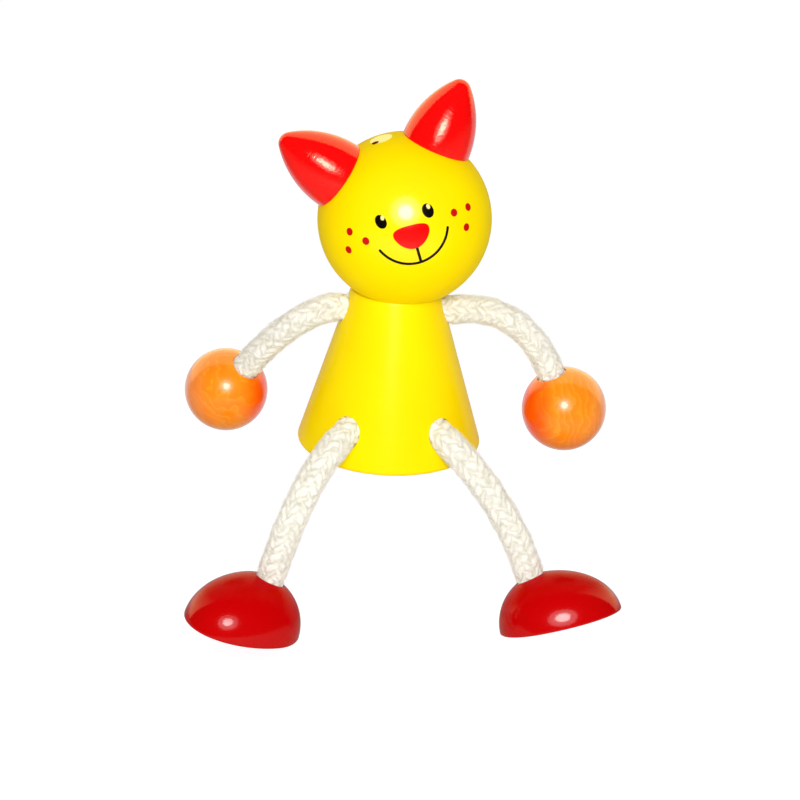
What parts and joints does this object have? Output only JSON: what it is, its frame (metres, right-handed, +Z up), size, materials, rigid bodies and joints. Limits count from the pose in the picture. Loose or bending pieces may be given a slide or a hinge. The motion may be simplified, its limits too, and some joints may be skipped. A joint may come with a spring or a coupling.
{
  "type": "swinging figure toy",
  "caption": "Turned-wood cat toy that sits on an edge: cone body, ball head with pointed ears, ball hands and half-egg feet on springy braided rope limbs.",
  "frame": {"origin": "centre of the torso's flat underside, the seat face", "axes": "+Z up the torso's axis, -Y toward the face and legs, +X toward the cat's left"},
  "size_m": [0.1022, 0.0702, 0.1233],
  "materials": {
    "yellow_paint": "gloss paint over wood",
    "ear_red": "gloss paint over wood",
    "orange_stain": "clear gloss over stained wood",
    "foot_red": "gloss paint over wood",
    "cream_rope": "braided cotton, matt",
    "bare_wood": "bare turned wood"
  },
  "bodies": {
    "torso": {"torso": "yellow_paint", "head": "yellow_paint", "neck_dowel": "bare_wood", "left_ear": "ear_red", "right_ear": "ear_red", "left_ear_peg": "bare_wood", "right_ear_peg": "bare_wood"},
    "left_arm": {"left_arm_rope": "cream_rope"},
    "right_arm": {"right_arm_rope": "cream_rope"},
    "left_leg": {"left_leg_rope": "cream_rope"},
    "right_leg": {"right_leg_rope": "cream_rope"},
    "left_hand": {"left_hand": "orange_stain"},
    "right_hand": {"right_hand": "orange_stain"},
    "left_foot": {"left_foot": "foot_red"},
    "right_foot": {"right_foot": "foot_red"}
  },
  "joints": [
    {"name": "left_arm_raise", "type": "hinge", "parent": "torso", "child": "left_arm", "pos_m": [0.02069, -0.00185, 0.03396], "axis": [0, -1, 0], "range_deg": [-10, 70], "stiffness_Nm_per_rad": 0.006, "springref_deg": 4.7, "deforming": ["left_arm_rope"]},
    {"name": "left_hand_swing", "type": "hinge", "parent": "left_arm", "child": "left_hand", "pos_m": [0.03351, -0.00495, 0.02656], "axis": [0.8028, 0.0769, 0.5913], "range_deg": [-30, 30], "stiffness_Nm_per_rad": 0.004, "springref_deg": -0.4, "deforming": ["left_arm_rope"]},
    {"name": "left_leg_raise", "type": "hinge", "parent": "torso", "child": "left_leg", "pos_m": [0.01796, -0.02227, 0.00244], "axis": [-0.8241, -0.5664, 0], "range_deg": [-15, 60], "stiffness_Nm_per_rad": 0.006, "springref_deg": 4.97, "deforming": ["left_leg_rope"]},
    {"name": "left_foot_sway", "type": "hinge", "parent": "left_leg", "child": "left_foot", "pos_m": [0.02859, -0.02769, -0.01255], "axis": [0.5664, -0.8241, 0], "range_deg": [-25, 25], "stiffness_Nm_per_rad": 0.004, "springref_deg": 1.36, "deforming": ["left_leg_rope"]},
    {"name": "right_arm_raise", "type": "hinge", "parent": "torso", "child": "right_arm", "pos_m": [-0.02006, -0.00066, 0.03134], "axis": [0, 1, 0], "range_deg": [-10, 70], "stiffness_Nm_per_rad": 0.006, "springref_deg": 4.46, "deforming": ["right_arm_rope"]},
    {"name": "right_hand_swing", "type": "hinge", "parent": "right_arm", "child": "right_hand", "pos_m": [-0.03059, 0.0021, 0.02168], "axis": [-0.8071, -0.2199, 0.548], "range_deg": [-30, 30], "stiffness_Nm_per_rad": 0.004, "springref_deg": -2.24, "deforming": ["right_arm_rope"]},
    {"name": "right_leg_raise", "type": "hinge", "parent": "torso", "child": "right_leg", "pos_m": [-0.01705, -0.02391, 0.00332], "axis": [-0.8241, 0.5664, 0], "range_deg": [-15, 60], "stiffness_Nm_per_rad": 0.006, "springref_deg": 4.31, "deforming": ["right_leg_rope"]},
    {"name": "right_foot_sway", "type": "hinge", "parent": "right_leg", "child": "right_foot", "pos_m": [-0.02503, -0.03045, -0.0126], "axis": [-0.5664, -0.8241, 0], "range_deg": [-25, 25], "stiffness_Nm_per_rad": 0.004, "springref_deg": -1.35, "deforming": ["right_leg_rope"]}
  ]
}
